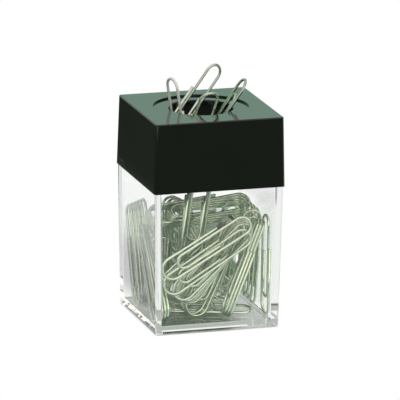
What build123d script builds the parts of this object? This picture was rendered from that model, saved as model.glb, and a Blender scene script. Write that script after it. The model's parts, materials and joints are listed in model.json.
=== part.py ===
from build123d import *
import os
from math import atan, cos, degrees, pi, radians, sin, sqrt

# Magnetic paper clip holder: a clear square container, a black cap with a round mouth
# over a ring magnet, four clips held in the mouth and a heap of clips inside.
# Millimetres, +Z up, origin in the middle of the face that stands on the table.
# The front is -Y.

# Wire clip
clip_length = 33.0  # over the bends, end to end
clip_width = 8.0  # over the two outer legs
wire_diameter = 0.9
outer_leg_short = 10.0  # the outer leg stops this far from the upper bend
inner_leg_short = 12.0  # the inner leg stops this far from it
inner_loop_inset = 5.6  # from the lower bend to the inner loop
left_leg_pitch = 1.25  # between the two legs on the left
right_leg_pitch = 1.35  # between the two legs on the right
wire_sides = 5
outer_bend_facets = 4
inner_bend_facets = 3

# Container
clip_play = 3.3  # room beside a clip that lies across the floor
container_wall = 2.2
floor_thickness = 2.6
shoulder_height = 46.2  # from the table to the ledge that carries the cap
container_flare = 0.8  # each side leans out by this much up to the ledge
neck_height = 9.0  # the rim that stands up inside the cap
container_corner = 0.7
container_foot_edge = 0.4
cavity_corner = 0.5
cavity_floor_edge = 0.3
foot_recess = 0.5
foot_rim = 3.0

# Cap
cap_overhang = 0.35  # past the container's ledge on each side
cap_height = 22.5
cap_taper = 0.5  # each side leans in by this much up to the top
cap_wall = 1.3
cap_plate = 2.0
cap_corner = 0.8
cap_top_edge = 0.35
neck_clearance = 0.12
dish_diameter = 30.5
dish_depth = 0.55
mouth_diameter = 20.4
mouth_lip_edge = 0.3

# Ring magnet under the cap's plate, with the ring that keeps it there
magnet_diameter = 33.0
magnet_band = 3.7  # from its rim to its bore
magnet_height = 4.6
seat_clearance = 0.15
seat_wall = 1.2
seat_bead = 0.4
seat_bead_height = 0.8
retainer_thickness = 1.5
retainer_chamfer = 0.5

# Room between clips, and between clips and what they lie against
wall_gap = 0.12
floor_gap = 0.1
stack_gap = 0.1
lip_gap = 0.3

# Derived sizes
inner_width = clip_length + clip_play
base_width = inner_width + 2 * container_wall
shoulder_width = base_width + 2 * container_flare
cap_width = shoulder_width + 2 * cap_overhang
cap_inner_width = cap_width - 2 * cap_wall
neck_width = cap_inner_width - 2 * neck_clearance
cap_lean = cap_taper / cap_height
container_lean = container_flare / shoulder_height
neck_top = shoulder_height + neck_height
top_height = shoulder_height + cap_height
plate_underside = top_height - cap_plate
magnet_bottom = plate_underside - magnet_height
retainer_bottom = magnet_bottom - retainer_thickness
magnet_radius = magnet_diameter / 2
bore_radius = magnet_radius - magnet_band
seat_radius = magnet_radius + seat_clearance
mouth_radius = mouth_diameter / 2


def inner_half(height):
    """Half the container's inner width at a height."""
    return inner_width / 2 + container_lean * height


def drafted_block(width, bottom, top, lean, corner):
    """A square block of this width at its bottom, whose sides move out by lean per mm of
    height, with rounded corners. It is drawn from its wider end."""
    height = top - bottom
    wider = max(width, width + 2 * lean * height)
    block = extrude(Rectangle(wider, wider), amount=height, taper=degrees(atan(abs(lean))))
    rising = [e for e in block.edges() if e.bounding_box().size.Z > height / 2]
    block = fillet(rising, corner)
    return Pos(0, 0, top) * Rot(180, 0, 0) * block if lean > 0 else Pos(0, 0, bottom) * block


def edges_at(shape, height):
    """The edges that lie flat at a height."""
    return [e for e in shape.edges() if abs(e.bounding_box().min.Z - height) < 1e-3
            and abs(e.bounding_box().max.Z - height) < 1e-3]


def make_container():
    """Clear box with drafted walls, a ledge for the cap and a neck that enters it."""
    body = drafted_block(base_width, 0, shoulder_height, container_lean, container_corner)
    body = chamfer(edges_at(body, 0), container_foot_edge)
    neck_corner = cap_corner - cap_wall / 2
    neck = drafted_block(neck_width, shoulder_height, neck_top, -cap_lean, neck_corner)
    floor_width = 2 * inner_half(floor_thickness)
    cavity = drafted_block(floor_width, floor_thickness, neck_top, container_lean, cavity_corner)
    cavity = chamfer(edges_at(cavity, floor_thickness), cavity_floor_edge)
    foot_width = base_width - 2 * foot_rim
    foot = drafted_block(foot_width, 0, foot_recess, 0, container_corner)
    return body + neck - cavity - foot


def make_cap():
    """Black cap: drafted skirt, plate with a dished ring and the mouth, seat for the magnet."""
    shell = drafted_block(cap_width, shoulder_height, top_height, -cap_lean, cap_corner)
    shell = fillet(edges_at(shell, top_height), cap_top_edge)
    inner_corner = cap_corner - cap_wall / 2 + neck_clearance
    hollow = drafted_block(cap_inner_width, shoulder_height, plate_underside, -cap_lean, inner_corner)
    dish_floor = top_height - dish_depth
    dish = Plane.XY.offset(dish_floor) * extrude(Circle(dish_diameter / 2), amount=dish_depth)
    mouth = Plane.XY.offset(plate_underside) * extrude(Circle(mouth_radius), amount=cap_plate)
    plate = shell - hollow - dish - mouth
    lip = [e for e in edges_at(plate, dish_floor) if abs(e.length - pi * mouth_diameter) < 0.1]
    return chamfer(lip, mouth_lip_edge) + make_magnet_seat()


def make_magnet_seat():
    """Ring wall round the magnet, with a bead at its lower edge that holds the retainer."""
    seat_bottom = retainer_bottom - seat_bead_height
    bead_radius = seat_radius - seat_bead
    with BuildSketch(Plane.XZ) as section:
        with BuildLine():
            Polyline(
                (seat_radius, plate_underside),
                (seat_radius + seat_wall, plate_underside),
                (seat_radius + seat_wall, seat_bottom),
                (bead_radius, seat_bottom),
                (bead_radius, seat_bottom + seat_bead_height - seat_bead),
                (seat_radius, retainer_bottom),
                close=True,
            )
        make_face()
    return revolve(section.sketch, Axis.Z)


def make_ring(outer_radius, inner_radius, bottom, height):
    """A flat ring about the mouth's axis."""
    profile = Circle(outer_radius) - Circle(inner_radius)
    return Plane.XY.offset(bottom) * extrude(profile, amount=height)


def make_magnet():
    """Ferrite ring, flat against the underside of the plate."""
    return make_ring(magnet_radius, bore_radius, magnet_bottom, magnet_height)


def make_retainer():
    """Plastic ring under the magnet, caught by the seat's bead; its bore leads clips in."""
    ring = make_ring(magnet_radius, bore_radius, retainer_bottom, retainer_thickness)
    bore = [e for e in edges_at(ring, retainer_bottom) if abs(e.length - 2 * pi * bore_radius) < 0.1]
    return chamfer(bore, retainer_chamfer)


# Wire clip, flat in its own XY plane, long axis along Y, upper bend at +Y
loop_radius = (clip_width - wire_diameter) / 2
half_length = (clip_length - wire_diameter) / 2
reach = half_length - loop_radius  # from the clip's middle to the centre of its lower bend


def bend(middle, height, radius, start, facets):
    """Corner points inside a half turn of wire, anticlockwise from the start angle."""
    angles = [start + pi * i / facets for i in range(1, facets)]
    return [(middle + radius * cos(a), height + radius * sin(a)) for a in angles]


def clip_outline():
    """The wire's centre line: four legs and three half turns, each turn in a few facets."""
    left, right = -loop_radius, loop_radius
    inner_left, inner_right = left + left_leg_pitch, right - right_leg_pitch
    upper_radius = (right - inner_left) / 2
    upper_height = half_length - upper_radius
    inner_radius = (inner_right - inner_left) / 2
    inner_height = inner_radius + inner_loop_inset - half_length
    points = [(left, half_length - outer_leg_short), (left, -reach)]
    points += bend(0, -reach, loop_radius, pi, outer_bend_facets)
    points += [(right, -reach), (right, upper_height)]
    points += bend((right + inner_left) / 2, upper_height, upper_radius, 0, outer_bend_facets)
    points += [(inner_left, upper_height), (inner_left, inner_height)]
    points += bend((inner_left + inner_right) / 2, inner_height, inner_radius, pi, inner_bend_facets)
    points += [(inner_right, inner_height), (inner_right, half_length - inner_leg_short)]
    return points


def make_clip():
    """Faceted wire with mitred corners and the round wire's area, one flat along its face."""
    line = Polyline(*clip_outline())
    corner_radius = wire_diameter / 2 * sqrt(2 * pi / (wire_sides * sin(2 * pi / wire_sides)))
    start = Plane(origin=line @ 0, z_dir=line % 0, x_dir=(0, 0, 1))
    section = start * RegularPolygon(corner_radius, wire_sides, rotation=180 / wire_sides)
    return sweep(section, path=line, transition=Transition.RIGHT)


wire_clip = make_clip()


def place_clip(middle, along, normal, turned=False):
    """A clip with its middle, long axis and face normal in space; turned swaps its ends."""
    across = along.cross(normal)
    return Plane(origin=middle, x_dir=-across if turned else across, z_dir=normal).location * wire_clip


def polar(length, azimuth, height=0.0):
    """A point at a distance and an azimuth from the upright axis."""
    return Vector(length * cos(radians(azimuth)), length * sin(radians(azimuth)), height)


def stack(count, start, facing, lean, fan=0.0, tilt=0.0, spin=0.0, held=0, step_across=0.0, step_up=0.0,
          inwards=-1):
    """Clips face to face. The first one's held point (its lower bend's centre at -1, its
    middle at 0, its upper bend's centre at 1) is at start, its face looks along the azimuth
    facing and up by tilt, its long axis leans by lean from the level, and it is turned about
    that axis by spin. Each next clip lies one wire behind the last and is turned by fan and
    moved by the steps."""
    outward = polar(1, facing)
    level = polar(1, facing + 90)
    upward = Vector(0, 0, 1)
    face = outward * cos(radians(tilt)) + upward * sin(radians(tilt))
    rise = upward * cos(radians(tilt)) - outward * sin(radians(tilt))
    clips = []
    for i in range(count):
        angle = radians(lean + fan * i)
        along = level * cos(angle) + rise * sin(angle)
        normal = face * cos(radians(spin)) + along.cross(face) * sin(radians(spin))
        point = start + normal * inwards * stack_pitch * i + level * step_across * i + rise * step_up * i
        clips.append(place_clip(point - along * held * reach, along, normal))
    return clips


stack_pitch = wire_diameter + stack_gap
side = inner_half(floor_thickness)
beside_wall = side - wire_diameter / 2 - wall_gap  # middle of a clip flat against a wall
standing = floor_thickness + floor_gap + wire_diameter / 2 + loop_radius  # lower bend's centre


def standing_top(lean):
    """Height of the upper bend's centre of a clip that stands on the floor."""
    return standing + 2 * reach * sin(radians(lean))


def front_plane(layer):
    """Y of a layer of clips flat behind the front wall."""
    return -beside_wall + stack_pitch * layer


# The heap: bundles that lie as they slid together. Those behind the front wall take one
# layer each: the long clip, the fan, the low one, then the upright pair.
fan_places = (  # layer, lean, and its upper bend as shares of side and of clip_length
    (1, 32, 0.43, 0.885),
    (2, 43, 0.46, 0.93),
    (3, 46, 0.48, 0.94),
    (4, 48, 0.49, 0.95),
    (5, 50, 0.49, 0.95),
    (6, 53, 0.49, 0.95),
    (9, 67, 0.745, 0.99),
)
low_layer = 10
upright_layer = 11
core_layer = 13
beside_corner = loop_radius + 0.05 - beside_wall  # middle of a clip that stands in the front corners


def make_fan():
    """Clips held together at the upper right, their lower ends spread to the left."""
    clips = []
    for layer, lean, across, height in fan_places:
        clips += stack(1, Vector(across * side, front_plane(layer), height * clip_length), -90, lean, held=1)
    return clips


def make_heap():
    """Every bundle of loose clips, by node."""
    long_start = Vector(0.41 * side, front_plane(0), 1.02 * clip_length)
    steep_start = Vector(0.852 * side, beside_corner, standing_top(69))
    low_start = Vector(0.275 * side, front_plane(low_layer), standing)
    corner_start = Vector(-beside_wall, beside_corner, standing)
    upright_start = Vector(-0.17 * side, front_plane(upright_layer) + stack_gap, 1.13 * clip_length)
    right_front_start = Vector(beside_wall + 0.08, beside_corner + 0.45, standing)
    right_start = Vector(beside_wall, front_plane(low_layer) + 2.2 * loop_radius, standing)
    left_start = Vector(-beside_wall, 0.297 * side, standing)
    back_start = Vector(0.522 * side, beside_wall, standing)
    core_right_start = Vector(0.48 * side, front_plane(core_layer) + 0.4, 0.88 * clip_length)
    core_left_start = Vector(-0.3 * side, beside_wall - 8.4, standing)
    core_back_start = Vector(0.148 * side, beside_wall - 7.6, standing)
    top_start = Vector(0.082 * side, 0.297 * side, 0.964 * clip_length)
    return {
        "heap_long_clip": stack(1, long_start, -90, 30, held=1),
        "heap_steep_clips": stack(3, steep_start, -90, 69, spin=80, held=1),
        "heap_fan_clips": make_fan(),
        "heap_low_clip": stack(1, low_start, -90, 69, held=-1),
        "heap_corner_clips": stack(3, corner_start, 180, 125, fan=3, held=-1, step_up=0.3),
        "heap_upright_clips": stack(2, upright_start, -90, 83, fan=2, step_across=-0.4, step_up=-2.0),
        "heap_right_front_clip": stack(1, right_front_start, 0, 91, held=-1),
        "heap_right_clips": stack(4, right_start, 0, 100, fan=1, held=-1, step_across=0.7, step_up=1.0),
        "heap_left_clips": stack(5, left_start, 180, 110, fan=-1.2, held=-1, step_up=0.4),
        "heap_back_clips": stack(5, back_start, 90, 62, fan=-4, held=-1),
        "heap_core_right_clips": stack(5, core_right_start, -90, 40, fan=3, held=1),
        "heap_core_left_clips": stack(4, core_left_start, -84, 86, fan=2, held=-1, step_up=0.4),
        "heap_core_back_clips": stack(3, core_back_start, -88, 67, fan=-2, held=-1),
        "heap_top_clips": stack(5, top_start, -90, 2, fan=1.5, tilt=52, inwards=1),
    }


# Clips in the mouth: how far from the axis one can cross the mouth flat against its rim
rim_reach = sqrt((mouth_radius - wire_diameter / 2 - lip_gap) ** 2 - loop_radius**2)


def mouth_clip(crossing, towards, lean, spin, stands_out, turned=False):
    """A clip through the mouth. Its axis crosses the cap's top at crossing and leans towards
    an azimuth; spin turns its width from level; its end stands out above the top."""
    along = polar(sin(radians(lean)), towards, cos(radians(lean)))
    level = polar(1, towards + 90)
    across = level * cos(radians(spin)) + along.cross(level) * sin(radians(spin))
    middle = crossing + along * (stands_out / cos(radians(lean)) - clip_length / 2)
    return place_clip(middle, along, across.cross(along), turned)


def make_mouth_clips():
    """The four clips that the magnet holds, by node."""
    left = polar(rim_reach - 0.4, 185.4, top_height)
    right = polar(rim_reach - 0.3, -15.3, top_height)
    tall = polar(mouth_radius - 3.92, 99.2, top_height)
    front = right + Vector(-0.88 * clip_width, 0.204 * clip_width, 0)
    return {
        "mouth_clip_left": [mouth_clip(left, 184, 9, 191, 0.3 * clip_length)],
        "mouth_clip_tall": [mouth_clip(tall, 3, 36, -68, 0.355 * clip_length)],
        "mouth_clip_front": [mouth_clip(front, -87, 37, 0, 0.16 * clip_length)],
        "mouth_clip_right": [mouth_clip(right, -15, 33, 8, 0.267 * clip_length, turned=True)],
    }


def main():
    os.makedirs("parts", exist_ok=True)
    nodes = {
        "container": [make_container()],
        "cap": [make_cap()],
        "ring_magnet": [make_magnet()],
        "magnet_retainer": [make_retainer()],
    }
    nodes |= make_mouth_clips()
    nodes |= make_heap()
    for name, shapes in nodes.items():
        solids = [solid for shape in shapes for solid in shape.solids()]
        export_step(solids[0] if len(solids) == 1 else Compound(children=solids), f"parts/{name}.step")
        print(name, len(solids), round(sum(solid.volume for solid in solids), 2))


main()
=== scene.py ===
"""Looks of a magnetic paper clip holder: clear container, black cap, ring magnet and wire clips."""

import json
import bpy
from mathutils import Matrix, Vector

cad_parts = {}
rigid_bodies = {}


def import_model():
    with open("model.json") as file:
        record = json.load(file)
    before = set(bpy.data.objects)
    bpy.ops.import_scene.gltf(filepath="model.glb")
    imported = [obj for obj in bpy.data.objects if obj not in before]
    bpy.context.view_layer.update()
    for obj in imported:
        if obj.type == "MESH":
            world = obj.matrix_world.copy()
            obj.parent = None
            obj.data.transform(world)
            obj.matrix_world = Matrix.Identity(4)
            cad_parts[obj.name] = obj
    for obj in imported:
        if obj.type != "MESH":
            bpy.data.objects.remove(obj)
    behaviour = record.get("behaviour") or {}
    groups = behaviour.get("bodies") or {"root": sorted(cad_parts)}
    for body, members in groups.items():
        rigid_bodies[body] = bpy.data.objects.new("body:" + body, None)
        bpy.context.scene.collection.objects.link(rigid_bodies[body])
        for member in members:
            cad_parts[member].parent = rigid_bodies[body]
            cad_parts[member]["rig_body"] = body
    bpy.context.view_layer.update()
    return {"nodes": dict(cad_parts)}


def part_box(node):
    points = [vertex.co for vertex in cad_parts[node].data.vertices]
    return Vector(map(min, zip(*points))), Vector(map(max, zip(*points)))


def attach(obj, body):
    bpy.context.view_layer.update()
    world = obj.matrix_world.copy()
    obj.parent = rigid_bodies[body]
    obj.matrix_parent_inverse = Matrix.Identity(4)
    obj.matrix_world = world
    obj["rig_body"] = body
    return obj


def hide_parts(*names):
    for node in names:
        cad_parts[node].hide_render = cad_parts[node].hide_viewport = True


bl_info = {
    "name": "Magnetic Paper Clip Holder",
    "version": (1, 0, 0),
    "blender": (4, 5, 0),
    "location": "View3D > Sidebar > Clip Holder",
    "description": "Dresses the clip holder's frame and winds its wire clips",
    "category": "Object",
}

from math import cos, pi, radians, sin, sqrt, tan

import bpy
from bpy.props import FloatProperty, FloatVectorProperty, IntProperty, PointerProperty
from bpy.types import NodeSocket, Operator, Panel, PropertyGroup
from mathutils import Matrix, Vector

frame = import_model()
UP = Vector((0.0, 0.0, 1.0))
MM = 0.001
WHITE = (1.0, 1.0, 1.0, 1.0)


# ---------------------------------------------------------------------------------------
# Sizes and colours
# ---------------------------------------------------------------------------------------


def length(name, description, default):
    """A length in metres."""
    return FloatProperty(name=name, description=description, default=default, unit="LENGTH", precision=5)


def colour(name, description, default):
    """A linear colour."""
    return FloatVectorProperty(name=name, description=description, default=default, subtype="COLOR",
                               size=3, min=0.0, soft_max=1.0)


def angle(name, description, degrees_default):
    """An angle, given in degrees."""
    return FloatProperty(name=name, description=description, default=radians(degrees_default),
                         subtype="ANGLE")


def strength(name, description, default):
    """A light's or an effect's strength."""
    return FloatProperty(name=name, description=description, default=default, min=0.0)


class WireClipSizes(PropertyGroup):
    """The bent wire clip"""

    clip_length: length("Clip length", "Over the bends, end to end", 0.033)
    clip_width: length("Clip width", "Over the two outer legs", 0.008)
    wire: length("Wire", "Diameter of the wire", 0.0009)
    outer_leg_short: length("Outer leg", "The outer leg stops this far from the upper bend", 0.010)
    inner_leg_short: length("Inner leg", "The inner leg stops this far from the upper bend", 0.012)
    inner_loop_inset: length("Inner loop", "From the lower bend to the inner loop", 0.0056)
    left_leg_pitch: length("Left pitch", "Between the two legs on the left", 0.00125)
    right_leg_pitch: length("Right pitch", "Between the two legs on the right", 0.00135)
    bend_steps: IntProperty(name="Bend steps", description="Steps in each half turn", default=14, min=4)
    wire_sides: IntProperty(name="Wire sides", description="Sides round the wire", default=10, min=6)


class HeapSizes(PropertyGroup):
    """Where the loose clips lie"""

    inner_width: length("Inner width", "Between the container's walls at the table", 0.0363)
    wall_lean: FloatProperty(name="Wall lean", description="Metres a wall leans out per metre of height",
                             default=0.8 / 46.2)
    floor: length("Floor", "Thickness of the container's floor", 0.0026)
    wall_gap: length("Wall gap", "Between a clip and the wall it lies against", 0.00012)
    floor_gap: length("Floor gap", "Between a clip and the floor it stands on", 0.0001)
    stack_gap: length("Stack gap", "Between clips that lie face to face", 0.0001)


class MouthSizes(PropertyGroup):
    """Where the magnet holds clips in the mouth"""

    mouth: length("Mouth", "Diameter of the mouth", 0.0204)
    top: length("Top", "Height of the cap's top", 0.0687)
    lip_gap: length("Lip gap", "Between a clip and the mouth's lip", 0.0003)


class Finishes(PropertyGroup):
    """Colours of the finishes"""

    clear: colour("Clear plastic", "Tint of the container", (0.985, 0.995, 0.990))
    cap: colour("Cap", "Black of the cap", (0.0078, 0.0112, 0.0074))
    cap_scuff: colour("Cap scuff", "Where the cap's edges are rubbed", (0.030, 0.036, 0.030))
    dust: colour("Dust", "Dust on level faces", (0.35, 0.37, 0.34))
    retainer: colour("Retainer", "Black of the ring under the magnet", (0.012, 0.013, 0.012))
    ferrite: colour("Ferrite", "Near black of the magnet", (0.010, 0.012, 0.008))
    ferrite_speck: colour("Ferrite speck", "Lighter grains in the magnet", (0.040, 0.042, 0.036))
    plating: colour("Plating", "Bright plating on the wire", (0.62, 0.74, 0.58))
    # The film colour is partly painted light: it makes the wire of bundles that should look lit paler.
    film_painted_light: colour("Film", "Pale film on plating that has gone chalky", (0.83, 0.94, 0.78))
    plating_dull: colour("Dull plating", "Plating where it has gone dull", (0.31, 0.44, 0.29))


class StageSettings(PropertyGroup):
    """Camera, floor and light"""

    azimuth: angle("Azimuth", "Camera's turn round the object", -17.24)
    elevation: angle("Elevation", "Camera's height above the horizon", 14.67)
    roll: angle("Roll", "Camera's turn about its own axis", 0.67)
    distance: length("Distance", "From the aim to the camera", 1.974)
    aim_height: length("Aim height", "Height of the aim above the table", 0.03481)
    aim_right: length("Aim right", "Camera's step to the right", 0.00006)
    aim_up: length("Aim up", "Camera's step up", 0.00293)
    lens: FloatProperty(name="Lens", description="Focal length in millimetres", default=558.45)
    floor_size: length("Floor size", "Width of the floor", 6.0)
    backdrop: colour("Backdrop", "White behind the object", (1.0, 1.0, 1.0))
    tent_glow: colour("Tent glow", "Light of the tent round the object", (0.94, 1.0, 0.92))
    tent_power: strength("Tent power", "Strength of the tent's sides and back", 0.46)
    front_glow: colour("Front glow", "Light from the soft box over the camera", (1.0, 0.88, 0.82))
    front_power: strength("Front power", "Strength of the soft box over the camera", 1.75)
    roof_glow: colour("Roof glow", "Light from the soft box overhead", (1.0, 0.93, 0.86))
    roof_power: strength("Roof power", "Strength of the soft box overhead", 1.45)
    wall_glow: colour("Wall glow", "Light from the foot of the far wall", (0.65, 1.0, 0.80))
    wall_power: strength("Wall power", "Strength of the far wall's foot", 0.84)
    outside_share: colour("Outside share", "Share of the room's light on what stands outside the plastic",
                          (0.69, 0.64, 0.77))
    sheet_white: colour("Sheet", "White sheet that the object stands on", (0.86, 0.88, 0.86))
    sheet_left: length("Sheet left", "How far the white sheet reaches to the left", 0.074)
    sheet_front: length("Sheet front", "How far the white sheet reaches to the front", 0.195)
    band: colour("Band", "Darker band of the sheet, as the left wall mirrors it", (0.43, 0.39, 0.44))
    band_near: length("Band near", "From the middle to the near edge of the band on the left", 0.024)
    band_far: length("Band far", "From the middle to its far edge", 0.050)
    table_dark: colour("Table", "Dark table round the sheet, as the object mirrors it", (0.030, 0.037, 0.028))
    window_reach: length("Window reach", "From the middle to the pale floor by the window on the left", 0.36)
    shade: colour("Shade", "The sheet in the shade of the heap", (0.040, 0.072, 0.040))
    shade_half: length("Shade half", "From the middle to the edge of the shade", 0.0208)
    shade_right: strength("Shade right", "Share of the shade that is left at the right wall", 0.45)
    shadow: colour("Shadow", "The sheet behind the heap, as the plastic shows it", (0.13, 0.20, 0.125))
    shadow_slant: angle("Shadow slant", "Turn of the shadow from straight back", -17.24)
    shadow_front: length("Shadow front", "From the middle to the near end of the shadow", 0.016)
    shadow_back: length("Shadow back", "From the middle to the far end of the shadow", 0.140)
    shadow_soft: length("Shadow soft", "Over how much of its length the shadow fades at each end", 0.036)
    shadow_left: length("Shadow left", "From the middle to the left edge of the shadow", 0.036)
    shadow_right: length("Shadow right", "From the middle to the right edge of the shadow", 0.020)
    shadow_core: length("Shadow core", "From the middle to where the shadow starts to fade", 0.006)


class ClipHolderSettings(PropertyGroup):
    """Everything a user would change"""

    wire_clip: PointerProperty(type=WireClipSizes)
    heap: PointerProperty(type=HeapSizes)
    mouth: PointerProperty(type=MouthSizes)
    finishes: PointerProperty(type=Finishes)
    stage: PointerProperty(type=StageSettings)


# ---------------------------------------------------------------------------------------
# Node helpers
# ---------------------------------------------------------------------------------------


def fill(tree, node, inputs):
    """Links the inputs that are sockets and sets the others as values."""
    for key, value in inputs.items():
        if isinstance(value, NodeSocket):
            tree.links.new(value, node.inputs[key])
        else:
            node.inputs[key].default_value = value


def put(tree, kind, inputs=None, **settings):
    """Adds a node with its settings and inputs."""
    made = tree.nodes.new(kind)
    for key, value in settings.items():
        setattr(made, key, value)
    fill(tree, made, inputs or {})
    return made


def math_node(tree, operation, first, second=0.0, clamp=False):
    """One sum of two values."""
    made = put(tree, "ShaderNodeMath", {0: first, 1: second}, operation=operation, use_clamp=clamp)
    return made.outputs[0]


def plus(tree, *values, clamp=False):
    """Values added up."""
    total = values[0]
    for value in values[1:]:
        total = math_node(tree, "ADD", total, value, clamp)
    return total


def times(tree, *values, clamp=False):
    """Values multiplied."""
    total = values[0]
    for value in values[1:]:
        total = math_node(tree, "MULTIPLY", total, value, clamp)
    return total


def ramp(tree, value, span, to=(0.0, 1.0)):
    """A value moved smoothly from one range to another."""
    made = put(tree, "ShaderNodeMapRange",
               {"Value": value, "From Min": span[0], "From Max": span[1], "To Min": to[0], "To Max": to[1]},
               interpolation_type="SMOOTHSTEP")
    return made.outputs["Result"]


def past(tree, along, start, fade):
    """0 before start and 1 past it, over the width of fade; a fade below 0 runs the other way."""
    return ramp(tree, along, (start, start + fade))


def mix(tree, factor, first, second, blend="MIX"):
    """One colour into another."""
    made = put(tree, "ShaderNodeMix", {0: factor, 6: first, 7: second}, data_type="RGBA", blend_type=blend)
    return made.outputs[2]


def rgba(values, share=1.0):
    """A colour, or a share of it, with full alpha."""
    return (*(share * value for value in values), 1.0)


def noise(tree, vector, scale, detail=3.0, rough=0.5):
    """Soft noise from 0 to 1."""
    return put(tree, "ShaderNodeTexNoise",
               {"Vector": vector, "Scale": scale, "Detail": detail, "Roughness": rough}).outputs["Fac"]


def stretched(tree, vector, scale, turn=(0.0, 0.0, 0.0)):
    """Coordinates turned and stretched."""
    return put(tree, "ShaderNodeMapping", {"Vector": vector, "Rotation": turn, "Scale": scale}).outputs[0]


def bump(tree, height, depth, amount):
    """A bump of this depth in metres."""
    return put(tree, "ShaderNodeBump",
               {"Height": height, "Distance": depth, "Strength": amount}).outputs["Normal"]


def new_group(name, values, outputs):
    """An empty shader group: a vector and the named values in, and the named values out."""
    tree = bpy.data.node_groups.new(name, "ShaderNodeTree")
    tree.interface.new_socket("Vector", in_out="INPUT", socket_type="NodeSocketVector")
    for label, default in values.items():
        made = tree.interface.new_socket(label, in_out="INPUT", socket_type="NodeSocketFloat")
        made.default_value = default
    for label in outputs:
        tree.interface.new_socket(label, in_out="OUTPUT", socket_type="NodeSocketFloat")
    return tree, tree.nodes.new("NodeGroupInput").outputs, tree.nodes.new("NodeGroupOutput")


def use_group(tree, group, inputs):
    """A group placed in a material with its own values."""
    return put(tree, "ShaderNodeGroup", inputs, node_tree=group).outputs


# ---------------------------------------------------------------------------------------
# Effects that several finishes share
# ---------------------------------------------------------------------------------------


def effect(name):
    """For the maker of an effect's group: it is built once, and found by its name after that."""
    def wrap(build):
        def find_or_build():
            return bpy.data.node_groups.get(name) or build(name)
        return find_or_build
    return wrap


@effect("Fine scratches")
def fine_scratches(name):
    """Hair lines that cross each other in patches."""
    turns = ((0.2, 0.1, 0.6), (0.9, 0.4, -0.5), (-0.4, 1.1, 1.9))
    hair_stretch, hair_span = (1.0, 0.035, 1.0), (0.64, 0.72)
    patch_scale, patch_span = 70.0, (0.42, 0.68)
    tree, source, sink = new_group(name, {"Scale": 400.0, "Amount": 1.0}, ("Mask",))
    lines = None
    for turn in turns:
        hair = noise(tree, stretched(tree, source["Vector"], hair_stretch, turn), source["Scale"], 2.0)
        line = ramp(tree, hair, hair_span)
        lines = line if lines is None else math_node(tree, "MAXIMUM", lines, line)
    patch = ramp(tree, noise(tree, source["Vector"], patch_scale), patch_span)
    fill(tree, sink, {"Mask": times(tree, lines, patch, source["Amount"])})
    return tree


@effect("Moulded grain")
def moulded_grain(name):
    """The skin of moulded plastic: fine grain over slow flow."""
    flow_scale, fine_share, flow_share = 45.0, 0.7, 0.3
    tree, source, sink = new_group(name, {"Scale": 2500.0}, ("Height", "Tone"))
    fine = noise(tree, source["Vector"], source["Scale"], 2.0)
    flow = noise(tree, source["Vector"], flow_scale, 2.0)
    height = plus(tree, times(tree, fine, fine_share), times(tree, flow, flow_share))
    fill(tree, sink, {"Height": height, "Tone": flow})
    return tree


@effect("Edge wear")
def edge_wear(name):
    """Rubbed edges: where a rounded normal leaves the face's own."""
    edge_span, break_scale, break_span = (0.01, 0.22), 900.0, (0.35, 0.65)
    tree, source, sink = new_group(name, {"Width": 0.0003, "Amount": 1.0}, ("Mask",))
    rounded = put(tree, "ShaderNodeBevel", {"Radius": source["Width"]}, samples=4).outputs["Normal"]
    plain = put(tree, "ShaderNodeNewGeometry").outputs["Normal"]
    along = put(tree, "ShaderNodeVectorMath", {0: rounded, 1: plain}, operation="DOT_PRODUCT")
    edge = ramp(tree, math_node(tree, "SUBTRACT", 1.0, along.outputs["Value"]), edge_span)
    broken = ramp(tree, noise(tree, source["Vector"], break_scale, 4.0), break_span)
    fill(tree, sink, {"Mask": times(tree, edge, broken, source["Amount"], clamp=True)})
    return tree


@effect("Settled dust")
def settled_dust(name):
    """Specks that settle on level faces."""
    speck_span, chosen_span, level_span = (0.12, 0.05), (0.86, 0.9), (0.6, 0.95)
    tree, source, sink = new_group(name, {"Scale": 1500.0, "Amount": 1.0}, ("Mask",))
    cells = put(tree, "ShaderNodeTexVoronoi", {"Vector": source["Vector"], "Scale": source["Scale"]}).outputs
    speck = ramp(tree, cells["Distance"], speck_span)
    draw = put(tree, "ShaderNodeSeparateColor", {0: cells["Color"]}).outputs[0]
    normal = put(tree, "ShaderNodeNewGeometry").outputs["Normal"]
    level = put(tree, "ShaderNodeSeparateXYZ", {0: normal}).outputs[2]
    lying = times(tree, speck, ramp(tree, draw, chosen_span), ramp(tree, level, level_span))
    fill(tree, sink, {"Mask": times(tree, lying, source["Amount"], clamp=True)})
    return tree


# ---------------------------------------------------------------------------------------
# Finishes
# ---------------------------------------------------------------------------------------

CLEAR_IOR = 1.42
CAP_IOR = 1.5


def new_finish(name):
    """An empty material with its shader, and the object's own coordinates."""
    material = bpy.data.materials.new(name)
    material.use_nodes = True
    tree = material.node_tree
    shader = tree.nodes["Principled BSDF"]
    place = put(tree, "ShaderNodeTexCoord").outputs["Object"]
    return material, tree, shader, place


def clear_plastic(name, finishes):
    """Clear moulded styrene: glassy, with hair scratches and slow flow in its faces."""
    material, tree, shader, place = new_finish(name)
    scratch = use_group(tree, fine_scratches(), {"Vector": place, "Scale": 500.0, "Amount": 0.5})["Mask"]
    flow = use_group(tree, moulded_grain(), {"Vector": place, "Scale": 900.0})["Tone"]
    fill(tree, shader, {
        "Base Color": mix(tree, flow, rgba(finishes.clear), WHITE),
        "Roughness": ramp(tree, scratch, (0.0, 1.0), to=(0.0, 0.12)),
        "Normal": bump(tree, flow, 0.02 * MM, 0.25),
        "Transmission Weight": 1.0,
        "IOR": CLEAR_IOR,
    })
    return material


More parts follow.
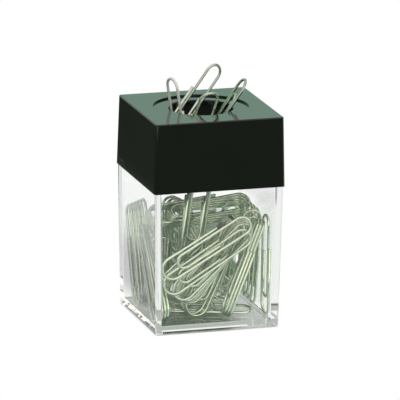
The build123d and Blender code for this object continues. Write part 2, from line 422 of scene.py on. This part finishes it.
def black_plastic(name, finishes):
    """Glossy black moulded plastic with rubbed edges, hair scratches and a little dust."""
    material, tree, shader, place = new_finish(name)
    scratch = use_group(tree, fine_scratches(), {"Vector": place, "Scale": 450.0, "Amount": 1.0})["Mask"]
    grain = use_group(tree, moulded_grain(), {"Vector": place, "Scale": 3000.0})
    wear = use_group(tree, edge_wear(), {"Vector": place, "Width": 0.28 * MM, "Amount": 0.55})["Mask"]
    dust = use_group(tree, settled_dust(), {"Vector": place, "Scale": 1300.0, "Amount": 0.5})["Mask"]
    shade = mix(tree, grain["Tone"], rgba(finishes.cap, 0.86), rgba(finishes.cap, 1.14))
    worn = mix(tree, wear, shade, rgba(finishes.cap_scuff))
    gloss = ramp(tree, scratch, (0.0, 1.0), to=(0.05, 0.16))
    fill(tree, shader, {
        "Base Color": mix(tree, dust, worn, rgba(finishes.dust)),
        "Roughness": plus(tree, gloss, times(tree, wear, 0.25), times(tree, dust, 0.5), clamp=True),
        "Normal": bump(tree, grain["Height"], 0.004 * MM, 0.3),
        "IOR": CAP_IOR,
    })
    return material


def matte_plastic(name, finishes):
    """Matte black plastic of the retaining ring, with the grain of its mould."""
    material, tree, shader, place = new_finish(name)
    grain = use_group(tree, moulded_grain(), {"Vector": place, "Scale": 2200.0})["Height"]
    wear = use_group(tree, edge_wear(), {"Vector": place, "Width": 0.3 * MM, "Amount": 0.6})["Mask"]
    shade = mix(tree, grain, rgba(finishes.retainer, 0.75), rgba(finishes.retainer, 1.3))
    fill(tree, shader, {
        "Base Color": mix(tree, wear, shade, rgba(finishes.cap_scuff)),
        "Roughness": ramp(tree, grain, (0.3, 0.7), to=(0.42, 0.6)),
        "Normal": bump(tree, grain, 0.03 * MM, 0.5),
    })
    return material


def ferrite(name, finishes):
    """Sintered ferrite: dark, dry, with lighter grains and chipped edges."""
    material, tree, shader, place = new_finish(name)
    grain = use_group(tree, moulded_grain(), {"Vector": place, "Scale": 1600.0})["Height"]
    wear = use_group(tree, edge_wear(), {"Vector": place, "Width": 0.4 * MM, "Amount": 0.9})["Mask"]
    dust = use_group(tree, settled_dust(), {"Vector": place, "Scale": 1900.0, "Amount": 0.35})["Mask"]
    cells = put(tree, "ShaderNodeTexVoronoi", {"Vector": place, "Scale": 2600.0}).outputs["Distance"]
    speck = ramp(tree, cells, (0.16, 0.04))
    shade = mix(tree, speck, rgba(finishes.ferrite), rgba(finishes.ferrite_speck))
    chipped = mix(tree, wear, shade, rgba(finishes.ferrite_speck))
    fill(tree, shader, {
        "Base Color": mix(tree, dust, chipped, rgba(finishes.dust)),
        "Roughness": ramp(tree, grain, (0.3, 0.7), to=(0.5, 0.78)),
        "Normal": bump(tree, grain, 0.05 * MM, 0.6),
    })
    return material


def plated_wire(name, finishes):
    """Bright plated wire: drawing lines along it, dull spells, a pale chalky film that is also painted light,
    each clip a little different.
    """
    material, tree, shader, place = new_finish(name)
    run = put(tree, "ShaderNodeUVMap", uv_map="wire_run").outputs["UV"]
    each = put(tree, "ShaderNodeAttribute", attribute_name="clip_tone").outputs["Fac"]
    # The film read here is partly painted light: bundles that should look lit are made paler and less
    # metallic.
    film_painted_light = put(tree, "ShaderNodeAttribute", attribute_name="clip_film_painted_light").outputs["Fac"]
    line = noise(tree, stretched(tree, run, (0.9, 34.0, 1.0)), 1.0, 4.0, 0.65)
    spell = ramp(tree, noise(tree, stretched(tree, run, (0.35, 2.0, 1.0)), 1.0), (0.45, 0.8))
    scratch = use_group(tree, fine_scratches(), {"Vector": place, "Scale": 1800.0, "Amount": 0.8})["Mask"]
    dull = plus(tree, times(tree, spell, 0.45), times(tree, each, 0.55), clamp=True)
    shade = mix(tree, dull, rgba(finishes.plating), rgba(finishes.plating_dull))
    lined = mix(tree, ramp(tree, line, (0.3, 0.75), to=(0.0, 0.22)), shade, rgba(finishes.plating_dull))
    drawn = ramp(tree, line, (0.2, 0.8), to=(0.05, 0.12))
    fill(tree, shader, {
        "Base Color": mix(tree, film_painted_light, lined, rgba(finishes.film_painted_light)),
        "Metallic": math_node(tree, "SUBTRACT", 1.0, times(tree, film_painted_light, 0.7)),
        "Roughness": plus(tree, drawn, times(tree, dull, 0.10), times(tree, film_painted_light, 0.30),
                          times(tree, scratch, 0.15), clamp=True),
        "Normal": bump(tree, line, 0.012 * MM, 0.5),
    })
    return material


def finish(name, make, finishes):
    """A material by name, made once."""
    return bpy.data.materials.get(name) or make(name, finishes)


def dress(node, material):
    """Gives a node of the frame its finish."""
    target = frame["nodes"][node]
    target.data.materials.clear()
    target.data.materials.append(material)


# ---------------------------------------------------------------------------------------
# The wire clip and where each one lies
# ---------------------------------------------------------------------------------------

# A cut end of the wire is rounded over: how far back, and what is left of the radius there.
END_BITE = 0.22
END_SHARE = 0.72


def axes_at(point, across, upward, outward):
    """A place by its origin and its three axes."""
    return Matrix.Translation(point) @ Matrix((across, upward, outward)).transposed().to_4x4()


def polar(distance, azimuth, height=0.0):
    """A point at a distance and an azimuth from the upright axis."""
    return Vector((distance * cos(radians(azimuth)), distance * sin(radians(azimuth)), height))


class WireClip:
    """A clip flat in its own XY plane, long axis along Y, upper bend at +Y."""

    def __init__(self, sizes):
        self.wire = sizes.wire
        self.clip_length = sizes.clip_length
        self.loop_radius = (sizes.clip_width - sizes.wire) / 2
        self.half_length = (sizes.clip_length - sizes.wire) / 2
        self.reach = self.half_length - self.loop_radius
        self.rings, self.runs = self.wind(self.centre_line(sizes), sizes.wire_sides)

    def centre_line(self, sizes):
        """The wire's centre line: four legs and three half turns."""
        steps = sizes.bend_steps
        left, right = -self.loop_radius, self.loop_radius
        inner_left, inner_right = left + sizes.left_leg_pitch, right - sizes.right_leg_pitch
        upper_radius = (right - inner_left) / 2
        upper_height = self.half_length - upper_radius
        inner_radius = (inner_right - inner_left) / 2
        inner_height = inner_radius + sizes.inner_loop_inset - self.half_length

        def half_turn(middle, height, radius, start):
            turns = [start + pi * i / steps for i in range(steps + 1)]
            return [(middle + radius * cos(turn), height + radius * sin(turn)) for turn in turns]

        points = [(left, self.half_length - sizes.outer_leg_short)]
        points += half_turn(0.0, -self.reach, self.loop_radius, pi)
        points += half_turn((right + inner_left) / 2, upper_height, upper_radius, 0.0)
        points += half_turn((inner_left + inner_right) / 2, inner_height, inner_radius, pi)
        points += [(inner_right, self.half_length - sizes.inner_leg_short)]
        return [Vector((x, y, 0.0)) for x, y in points]

    def wind(self, line, sides):
        """Rings of points round the centre line, rounded over at the cut ends, and how far along each is."""
        radius, last = self.wire / 2, len(line) - 1
        bite = radius * END_BITE
        ends = {0: ((0.0, END_SHARE), (bite, 1.0)), last: ((-bite, 1.0), (0.0, END_SHARE))}
        turns = [2 * pi * k / sides for k in range(sides)]
        rings, runs, run = [], [], 0.0
        for i, point in enumerate(line):
            before, after = line[max(i - 1, 0)], line[min(i + 1, last)]
            along = (after - before).normalized()
            side = UP.cross(along)
            outwards = [side * cos(turn) + UP * sin(turn) for turn in turns]
            run += (point - before).length
            for shift, share in ends.get(i, ((0.0, 1.0),)):
                middle = point + along * shift
                rings.append([middle + outward * radius * share for outward in outwards])
                runs.append(run + shift)
        return rings, runs

    def placed(self, middle, along, normal, turned=False):
        """A clip's place, by its middle, its long axis and its face's normal; turned swaps its ends."""
        across = along.cross(normal)
        if turned:
            across = -across
        return axes_at(middle, across, normal.cross(across), normal)


def stack(clip, pitch, count, start, facing, lean, fan=0.0, tilt=0.0, spin=0.0, held=0, step_across=0.0,
          step_up=0.0, inwards=-1):
    """Clips face to face. The first one's held point (its lower bend's centre at -1, its middle at 0, its
    upper bend's centre at 1) is at start, its face looks along the azimuth facing and up by tilt, its long
    axis leans by lean from the level, and it is turned about that axis by spin. Each next clip lies one
    pitch behind, is turned by fan and moved by the steps."""
    outward, level = polar(1.0, facing), polar(1.0, facing + 90)
    face = outward * cos(radians(tilt)) + UP * sin(radians(tilt))
    rise = UP * cos(radians(tilt)) - outward * sin(radians(tilt))
    places = []
    for i in range(count):
        turn = radians(lean + fan * i)
        along = level * cos(turn) + rise * sin(turn)
        normal = face * cos(radians(spin)) + along.cross(face) * sin(radians(spin))
        point = start + normal * inwards * pitch * i + level * step_across * i + rise * step_up * i
        places.append(clip.placed(point - along * held * clip.reach, along, normal))
    return places


# The fan's clips: layer behind the front wall, lean, and upper bend as shares of the box's half width and
# of the clip's length.
FAN = ((1, 32, 0.43, 0.885), (2, 43, 0.46, 0.93), (3, 46, 0.48, 0.94), (4, 48, 0.49, 0.95),
       (5, 50, 0.49, 0.95), (6, 53, 0.49, 0.95), (9, 67, 0.745, 0.99))

# Lean of the steep clips, and of the low one behind them.
STEEP = 69

# Names of bundles that stand for no node, because they lie deep between the others.
INNER = "inner_"


def heap_places(clip, heap):
    """Every bundle of loose clips, by the node it stands for, and the inner ones."""
    pitch = clip.wire + heap.stack_gap
    side = heap.inner_width / 2 + heap.wall_lean * heap.floor
    beside_wall = side - clip.wire / 2 - heap.wall_gap
    beside_corner = clip.loop_radius + 0.05 * MM - beside_wall
    standing = heap.floor + heap.floor_gap + clip.wire / 2 + clip.loop_radius
    standing_top = standing + 2 * clip.reach * sin(radians(STEEP))
    tall = clip.clip_length

    def front(layer):
        return -beside_wall + pitch * layer

    def bundle(count, x, y, z, facing, lean, **more):
        return stack(clip, pitch, count, Vector((x, y, z)), facing, lean, **more)

    fan = []
    for layer, lean, across, height in FAN:
        fan += bundle(1, across * side, front(layer), height * tall, -90, lean, held=1)
    return {
        "heap_long_clip": bundle(1, 0.41 * side, front(0), 1.02 * tall, -90, 30, held=1),
        "heap_steep_clips": bundle(3, 0.852 * side, beside_corner, standing_top, -90, STEEP, spin=80, held=1),
        "heap_fan_clips": fan,
        "heap_low_clip": bundle(1, 0.275 * side, front(10), standing, -90, STEEP, held=-1),
        "heap_corner_clips": bundle(3, -beside_wall, beside_corner, standing, 180, 125, fan=3, held=-1,
                                    step_up=0.3 * MM),
        "heap_upright_clips": bundle(2, -0.17 * side, front(11) + heap.stack_gap, 1.13 * tall, -90, 83, fan=2,
                                     step_across=-0.4 * MM, step_up=-2.0 * MM),
        "heap_right_front_clip": bundle(1, beside_wall + 0.08 * MM, beside_corner + 0.45 * MM, standing,
                                        0, 91, held=-1),
        "heap_right_clips": bundle(4, beside_wall, front(10) + 2.2 * clip.loop_radius, standing, 0, 100,
                                   fan=1, held=-1, step_across=0.7 * MM, step_up=1.0 * MM),
        "heap_left_clips": bundle(5, -beside_wall, 0.297 * side, standing, 180, 110, fan=-1.2, held=-1,
                                  step_up=0.4 * MM),
        "heap_back_clips": bundle(5, 0.522 * side, beside_wall, standing, 90, 62, fan=-4, held=-1),
        "heap_core_right_clips": bundle(5, 0.48 * side, front(13) + 0.4 * MM, 0.88 * tall, -90, 40, fan=3,
                                        held=1),
        "heap_core_left_clips": bundle(4, -0.3 * side, beside_wall - 8.4 * MM, standing, -84, 86, fan=2,
                                       held=-1, step_up=0.4 * MM),
        "heap_core_back_clips": bundle(3, 0.148 * side, beside_wall - 7.6 * MM, standing, -88, 67, fan=-2,
                                       held=-1),
        "heap_top_clips": bundle(5, 0.082 * side, 0.297 * side, 0.964 * tall, -90, 2, fan=1.5, tilt=52,
                                 inwards=1),
        INNER + "steep": bundle(2, 1.0 * MM, front(7), 18.0 * MM, -90, 66, fan=-5),
        INNER + "crossing": bundle(4, 5.5 * MM, 5.6 * MM, 18.5 * MM, -85, 132, fan=-2),
        INNER + "slanting": bundle(3, -1.5 * MM, 1.0 * MM, 15.0 * MM, -90, 144),
        INNER + "right": bundle(1, 9.0 * MM, 4.4 * MM, 20.0 * MM, -90, 80),
        INNER + "flat": bundle(1, -1.0 * MM, -4.5 * MM, 3.9 * MM, 255, -3, tilt=82),
    }


def mouth_places(clip, mouth):
    """The four clips that the magnet holds, by the node each stands for."""
    radius, top, tall = mouth.mouth / 2, mouth.top, clip.clip_length
    width = 2 * clip.loop_radius + clip.wire
    rim = sqrt((radius - clip.wire / 2 - mouth.lip_gap) ** 2 - clip.loop_radius ** 2)

    def through(crossing, towards, lean, spin, stands_out, turned=False):
        along = polar(sin(radians(lean)), towards, cos(radians(lean)))
        level = polar(1.0, towards + 90)
        across = level * cos(radians(spin)) + along.cross(level) * sin(radians(spin))
        middle = crossing + along * (stands_out / cos(radians(lean)) - tall / 2)
        return [clip.placed(middle, along, across.cross(along), turned)]

    right = polar(rim - 0.3 * MM, -15.3, top)
    in_front = right + Vector((-0.88 * width, 0.204 * width, 0.0))
    return {
        "mouth_clip_left": through(polar(rim - 0.4 * MM, 185.4, top), 184, 9, 191, 0.3 * tall),
        "mouth_clip_tall": through(polar(radius - 3.92 * MM, 99.2, top), 3, 36, -68, 0.355 * tall),
        "mouth_clip_front": through(in_front, -87, 37, 0, 0.16 * tall),
        "mouth_clip_right": through(right, -15, 33, 8, 0.267 * tall, turned=True),
    }


# How chalky the plating has gone, from 0 to 1, where it is more or less than usual. The pale film is also
# painted light: bundles that should look brightly lit get more of it, and bundles in shade get less.
USUAL_FILM_PAINTED_LIGHT = 0.12
FILM_PAINTED_LIGHT = {"mouth_clip_left": 0.75, "mouth_clip_tall": 0.0, "mouth_clip_right": 0.0, "heap_long_clip": 0.3,
        "heap_fan_clips": 0.4, "heap_steep_clips": 0.3, "heap_low_clip": 0.3, "heap_top_clips": 0.0,
        "heap_left_clips": 0.0, "heap_corner_clips": 0.05}

# Numbers from which the clips' tones are counted, and how many each bundle has to itself.
HEAP_TONES = 1
MOUTH_TONES = 201
BUNDLE_TONES = 10

# The tone goes up and down from number to number, and the drawing lines start elsewhere on each clip.
TONE_TURN = 12.9898
TONE_START = 4.1
RUN_STEP = 37.0

# How far a bundle's box may differ from its node's, whose wire is faceted.
NODE_TOLERANCE = 0.6 * MM


def clip_tone(number):
    """How dull a clip is, from 0 to 1, by its number."""
    return (0.5 + 0.5 * sin(TONE_TURN * number + TONE_START)) ** 2


def link_object(name, data):
    """A new object in the scene."""
    made = bpy.data.objects.new(name, data)
    bpy.context.scene.collection.objects.link(made)
    return made


def wind_clips(name, clip, places, first_tone, film_painted_light):
    """One mesh with a round wire for each place, its run along the wire in millimetres as UV, a tone for each
    clip, and one film for all of them, a film that is also painted light."""
    sides, last = len(clip.rings[0]), len(clip.rings) - 1
    flat = [point for ring in clip.rings for point in ring]
    points, faces, runs, tones = [], [], [], []
    for number, place in enumerate(places, first_tone):
        base, shift = len(points), RUN_STEP * number
        points += [place @ point for point in flat]
        tones += [clip_tone(number)] * len(flat)
        along = [run / MM + shift for run in clip.runs]
        for i in range(last):
            low, high = base + i * sides, base + (i + 1) * sides
            for k in range(sides):
                after = (k + 1) % sides
                faces.append([low + k, low + after, high + after, high + k])
                runs += [(along[i], k / sides), (along[i], (k + 1) / sides),
                         (along[i + 1], (k + 1) / sides), (along[i + 1], k / sides)]
        faces.append([base + k for k in reversed(range(sides))])
        runs += [(along[0], k / sides) for k in reversed(range(sides))]
        faces.append([base + last * sides + k for k in range(sides)])
        runs += [(along[last], k / sides) for k in range(sides)]
    mesh = bpy.data.meshes.new(name)
    mesh.from_pydata(points, [], faces)
    layer = mesh.uv_layers.new(name="wire_run")
    layer.data.foreach_set("uv", [value for pair in runs for value in pair])
    mesh.attributes.new("clip_tone", "FLOAT", "POINT").data.foreach_set("value", tones)
    mesh.attributes.new("clip_film_painted_light", "FLOAT", "POINT").data.foreach_set("value", [film_painted_light] * len(points))
    mesh.shade_smooth()
    return link_object(name, mesh)


def check_box(made, node):
    """Stops where a bundle isn't in the box of the node it stands for."""
    low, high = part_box(node)
    points = [vertex.co for vertex in made.data.vertices]
    for axis in range(3):
        reach = [point[axis] for point in points]
        off = max(abs(min(reach) - low[axis]), abs(max(reach) - high[axis]))
        if off > NODE_TOLERANCE:
            raise RuntimeError(f"{node}: the wire leaves its node by {off / MM:.2f} mm")


def place_bundles(bundles, clip, material, first_tone):
    """Winds each bundle, checks it against the node it stands for and lets it ride with that node's body."""
    for number, (node, places) in enumerate(bundles.items()):
        tone = first_tone + BUNDLE_TONES * number
        # Each bundle's film amount is partly painted light, set higher where the bundle should look lit.
        made = wind_clips(node + "_wire", clip, places, tone, FILM_PAINTED_LIGHT.get(node, USUAL_FILM_PAINTED_LIGHT))
        made.data.materials.append(material)
        if node.startswith(INNER):
            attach(made, frame["nodes"]["container"]["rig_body"])
            continue
        check_box(made, node)
        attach(made, frame["nodes"][node]["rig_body"])
        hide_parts(node)


# ---------------------------------------------------------------------------------------
# Floor, light and camera
# ---------------------------------------------------------------------------------------

# Where the roof, the front and the far wall's foot begin and are full, as a share of the way from the middle
# of the room up, back or to the front.
ROOF_SPAN = (0.6, 0.8)
FRONT_SPAN = (-0.3, -0.6)
FOOT_DEPTH_SPAN = (0.3, 0.6)
FOOT_HEIGHT_SPAN = (0.5, 0.32)

# Metres over which the marks on the floor fade.
SHEET_LEFT_FADE = 0.004
SHEET_FRONT_FADE = 0.010
BAND_NEAR_FADE = 0.006
BAND_FAR_FADE = 0.012
WINDOW_FADE = 0.03
WINDOW_SIDE_FADE = 0.05
SHADE_FADE = 0.002

SHADE_RIGHT_SPAN = (0.002, 0.014)  # where the shade weakens towards the right wall
WINDOW_SLANT = 0.25  # how far the window's side of the floor moves to the left, per metre back
FLOOR_DROP = 0.0001  # how far the floor lies below the container
SENSOR_WIDTH = 36.0  # the camera's, in millimetres
VIEW_RANGE = (0.05, 50.0)  # nearest and farthest that the camera sees, in metres


def seen_straight(tree):
    """1 for what the camera sees straight or through clear plastic, 0 for light and reflections."""
    path = put(tree, "ShaderNodeLightPath").outputs
    return math_node(tree, "LESS_THAN", plus(tree, path["Diffuse Depth"], path["Glossy Depth"]), 0.5)


def seen_through(tree):
    """1 for what is reached through clear plastic, 0 for the rest."""
    path = put(tree, "ShaderNodeLightPath").outputs
    return math_node(tree, "GREATER_THAN", path["Transmission Depth"], 0.5)


def lit_room(stage):
    """The room's light: a tent with a bright roof and a bright front, and a tinted foot of the far wall."""
    world = bpy.data.worlds.new("studio")
    bpy.context.scene.world = world
    world.use_nodes = True
    tree = world.node_tree
    tree.nodes.clear()
    direction = put(tree, "ShaderNodeTexCoord").outputs["Generated"]
    depth, height = put(tree, "ShaderNodeSeparateXYZ", {0: direction}).outputs[1:]
    outside = math_node(tree, "SUBTRACT", 1.0, seen_through(tree))
    room = rgba(stage.tent_glow, stage.tent_power)
    room = mix(tree, ramp(tree, height, ROOF_SPAN), room, rgba(stage.roof_glow, stage.roof_power))
    room = mix(tree, ramp(tree, depth, FRONT_SPAN), room, rgba(stage.front_glow, stage.front_power))
    room = mix(tree, outside, room, rgba(stage.outside_share), blend="MULTIPLY")
    foot = times(tree, ramp(tree, depth, FOOT_DEPTH_SPAN), ramp(tree, height, FOOT_HEIGHT_SPAN), outside)
    room = mix(tree, foot, room, rgba(stage.wall_glow, stage.wall_power))
    shown = mix(tree, seen_straight(tree), room, rgba(stage.backdrop))
    light = put(tree, "ShaderNodeBackground", {"Color": shown, "Strength": 1.0})
    put(tree, "ShaderNodeOutputWorld", {"Surface": light.outputs[0]})


def mirrored_table(tree, stage, spot, across, back):
    """What the object mirrors: a white sheet with a darker band, on a dark table with a pale floor beyond."""
    banded = times(tree, past(tree, across, -stage.band_near, -BAND_NEAR_FADE),
                   past(tree, across, -stage.band_far, BAND_FAR_FADE))
    sheet = mix(tree, banded, rgba(stage.sheet_white), rgba(stage.band))
    beyond = math_node(tree, "MAXIMUM", past(tree, across, -stage.sheet_left, -SHEET_LEFT_FADE),
                       past(tree, back, -stage.sheet_front, -SHEET_FRONT_FADE))
    table = mix(tree, beyond, sheet, rgba(stage.table_dark))
    away = put(tree, "ShaderNodeVectorMath", {0: spot}, operation="LENGTH").outputs["Value"]
    slanting = plus(tree, across, times(tree, back, WINDOW_SLANT))
    by_window = times(tree, past(tree, away, stage.window_reach, WINDOW_FADE),
                      past(tree, slanting, 0.0, -WINDOW_SIDE_FADE))
    return mix(tree, by_window, table, rgba(stage.backdrop))


def shade_under(tree, stage, across, back):
    """1 under the heap, weaker towards the right wall, and 0 outside the container."""
    inside = [past(tree, math_node(tree, "ABSOLUTE", along), stage.shade_half, -SHADE_FADE)
              for along in (across, back)]
    return times(tree, ramp(tree, across, SHADE_RIGHT_SPAN, to=(1.0, stage.shade_right)), *inside)


def shadow_behind(tree, stage, across, back):
    """1 in the shadow behind the heap, which fades on all sides."""
    sideways = plus(tree, across, times(tree, back, tan(stage.shadow_slant)))
    return times(tree, ramp(tree, sideways, (-stage.shadow_left, -stage.shadow_core)),
                 ramp(tree, sideways, (stage.shadow_right, stage.shadow_core)),
                 past(tree, back, stage.shadow_front, stage.shadow_soft),
                 past(tree, back, stage.shadow_back, -stage.shadow_soft))


def pale_floor(stage):
    """A pale floor, white to the eye, with shade under the heap and, through the plastic, behind it."""
    half = stage.floor_size / 2
    corners = [(-half, -half, 0.0), (half, -half, 0.0), (half, half, 0.0), (-half, half, 0.0)]
    mesh = bpy.data.meshes.new("floor")
    mesh.from_pydata(corners, [], [(0, 1, 2, 3)])
    floor = link_object("floor", mesh)
    floor.location.z = -FLOOR_DROP
    material = bpy.data.materials.new("pale_table")
    material.use_nodes = True
    tree = material.node_tree
    tree.nodes.clear()
    spot = put(tree, "ShaderNodeTexCoord").outputs["Object"]
    across, back = put(tree, "ShaderNodeSeparateXYZ", {0: spot}).outputs[:2]
    straight = seen_straight(tree)
    shown = mix(tree, straight, mirrored_table(tree, stage, spot, across, back), rgba(stage.backdrop))
    shown = mix(tree, shade_under(tree, stage, across, back), shown, rgba(stage.shade))
    behind = times(tree, seen_through(tree), straight, shadow_behind(tree, stage, across, back))
    shown = mix(tree, behind, shown, rgba(stage.shadow))
    light = put(tree, "ShaderNodeEmission", {"Color": shown, "Strength": 1.0})
    put(tree, "ShaderNodeOutputMaterial", {"Surface": light.outputs[0]})
    mesh.materials.append(material)


def aim_camera(stage):
    """The camera at the photograph's angle."""
    turn, rise, roll = stage.azimuth, stage.elevation, stage.roll
    backward = Vector((sin(turn) * cos(rise), -cos(turn) * cos(rise), sin(rise)))
    right = UP.cross(backward).normalized()
    up = backward.cross(right)
    data = bpy.data.cameras.new("camera")
    data.sensor_width, data.lens = SENSOR_WIDTH, stage.lens
    data.clip_start, data.clip_end = VIEW_RANGE
    camera = link_object("camera", data)
    point = UP * stage.aim_height + backward * stage.distance + right * stage.aim_right + up * stage.aim_up
    rolled_right = right * cos(roll) + up * sin(roll)
    rolled_up = up * cos(roll) - right * sin(roll)
    camera.matrix_world = axes_at(point, rolled_right, rolled_up, backward)
    bpy.context.scene.camera = camera


# ---------------------------------------------------------------------------------------
# Operators and panel
# ---------------------------------------------------------------------------------------


class CLIPHOLDER_OT_stage(Operator):
    """Set the table, the light and the camera"""

    bl_idname = "clip_holder.stage"
    bl_label = "Table, Light and Camera"
    bl_options = {"REGISTER", "UNDO"}

    def execute(self, context):
        scene = context.scene
        stage = scene.clip_holder.stage
        lit_room(stage)
        pale_floor(stage)
        aim_camera(stage)
        scene.view_settings.view_transform = "Standard"
        scene.view_settings.look = "None"
        scene.cycles.max_bounces = 40
        scene.cycles.transmission_bounces = 32
        scene.cycles.glossy_bounces = 16
        scene.cycles.diffuse_bounces = 6
        return {"FINISHED"}


class CLIPHOLDER_OT_container(Operator):
    """Dress the clear container"""

    bl_idname = "clip_holder.container"
    bl_label = "Clear Container"
    bl_options = {"REGISTER", "UNDO"}

    def execute(self, context):
        dress("container", finish("clear styrene", clear_plastic, context.scene.clip_holder.finishes))
        return {"FINISHED"}


class CLIPHOLDER_OT_cap(Operator):
    """Dress the black cap"""

    bl_idname = "clip_holder.cap"
    bl_label = "Black Cap"
    bl_options = {"REGISTER", "UNDO"}

    def execute(self, context):
        dress("cap", finish("gloss black moulding", black_plastic, context.scene.clip_holder.finishes))
        return {"FINISHED"}


class CLIPHOLDER_OT_magnet(Operator):
    """Dress the ring magnet and the ring that keeps it in its seat"""

    bl_idname = "clip_holder.magnet"
    bl_label = "Ring Magnet and Retainer"
    bl_options = {"REGISTER", "UNDO"}

    def execute(self, context):
        finishes = context.scene.clip_holder.finishes
        dress("ring_magnet", finish("sintered ferrite", ferrite, finishes))
        dress("magnet_retainer", finish("matte black moulding", matte_plastic, finishes))
        return {"FINISHED"}


class CLIPHOLDER_OT_mouth_clips(Operator):
    """Wind the clips that the magnet holds in the mouth"""

    bl_idname = "clip_holder.mouth_clips"
    bl_label = "Clips in the Mouth"
    bl_options = {"REGISTER", "UNDO"}

    def execute(self, context):
        settings = context.scene.clip_holder
        clip = WireClip(settings.wire_clip)
        wire = finish("bright plated wire", plated_wire, settings.finishes)
        place_bundles(mouth_places(clip, settings.mouth), clip, wire, MOUTH_TONES)
        return {"FINISHED"}


class CLIPHOLDER_OT_heap_clips(Operator):
    """Wind the loose clips in the container"""

    bl_idname = "clip_holder.heap_clips"
    bl_label = "Loose Clips"
    bl_options = {"REGISTER", "UNDO"}

    def execute(self, context):
        settings = context.scene.clip_holder
        clip = WireClip(settings.wire_clip)
        wire = finish("bright plated wire", plated_wire, settings.finishes)
        place_bundles(heap_places(clip, settings.heap), clip, wire, HEAP_TONES)
        return {"FINISHED"}


class CLIPHOLDER_PT_panel(Panel):
    """Steps and settings of the clip holder"""

    bl_idname = "CLIPHOLDER_PT_panel"
    bl_label = "Clip Holder"
    bl_space_type = "VIEW_3D"
    bl_region_type = "UI"
    bl_category = "Clip Holder"

    def draw(self, context):
        for step in STEPS:
            self.layout.operator(step.bl_idname)
        settings = context.scene.clip_holder
        for group in (settings.wire_clip, settings.heap, settings.mouth, settings.finishes, settings.stage):
            box = self.layout.box()
            for key in group.__annotations__:
                box.prop(group, key)


STEPS = (CLIPHOLDER_OT_stage, CLIPHOLDER_OT_container, CLIPHOLDER_OT_cap, CLIPHOLDER_OT_magnet,
         CLIPHOLDER_OT_mouth_clips, CLIPHOLDER_OT_heap_clips)
CLASSES = (WireClipSizes, HeapSizes, MouthSizes, Finishes, StageSettings, ClipHolderSettings, *STEPS,
           CLIPHOLDER_PT_panel)


def register():
    """Registers the classes and the settings."""
    for cls in CLASSES:
        bpy.utils.register_class(cls)
    bpy.types.Scene.clip_holder = PointerProperty(type=ClipHolderSettings)


def unregister():
    """Takes the settings and the classes away again."""
    del bpy.types.Scene.clip_holder
    for cls in reversed(CLASSES):
        bpy.utils.unregister_class(cls)


def main():
    """Runs every step."""
    register()
    bpy.ops.clip_holder.stage()
    bpy.ops.clip_holder.container()
    bpy.ops.clip_holder.cap()
    bpy.ops.clip_holder.magnet()
    bpy.ops.clip_holder.mouth_clips()
    bpy.ops.clip_holder.heap_clips()


if __name__ == "__main__":
    main()
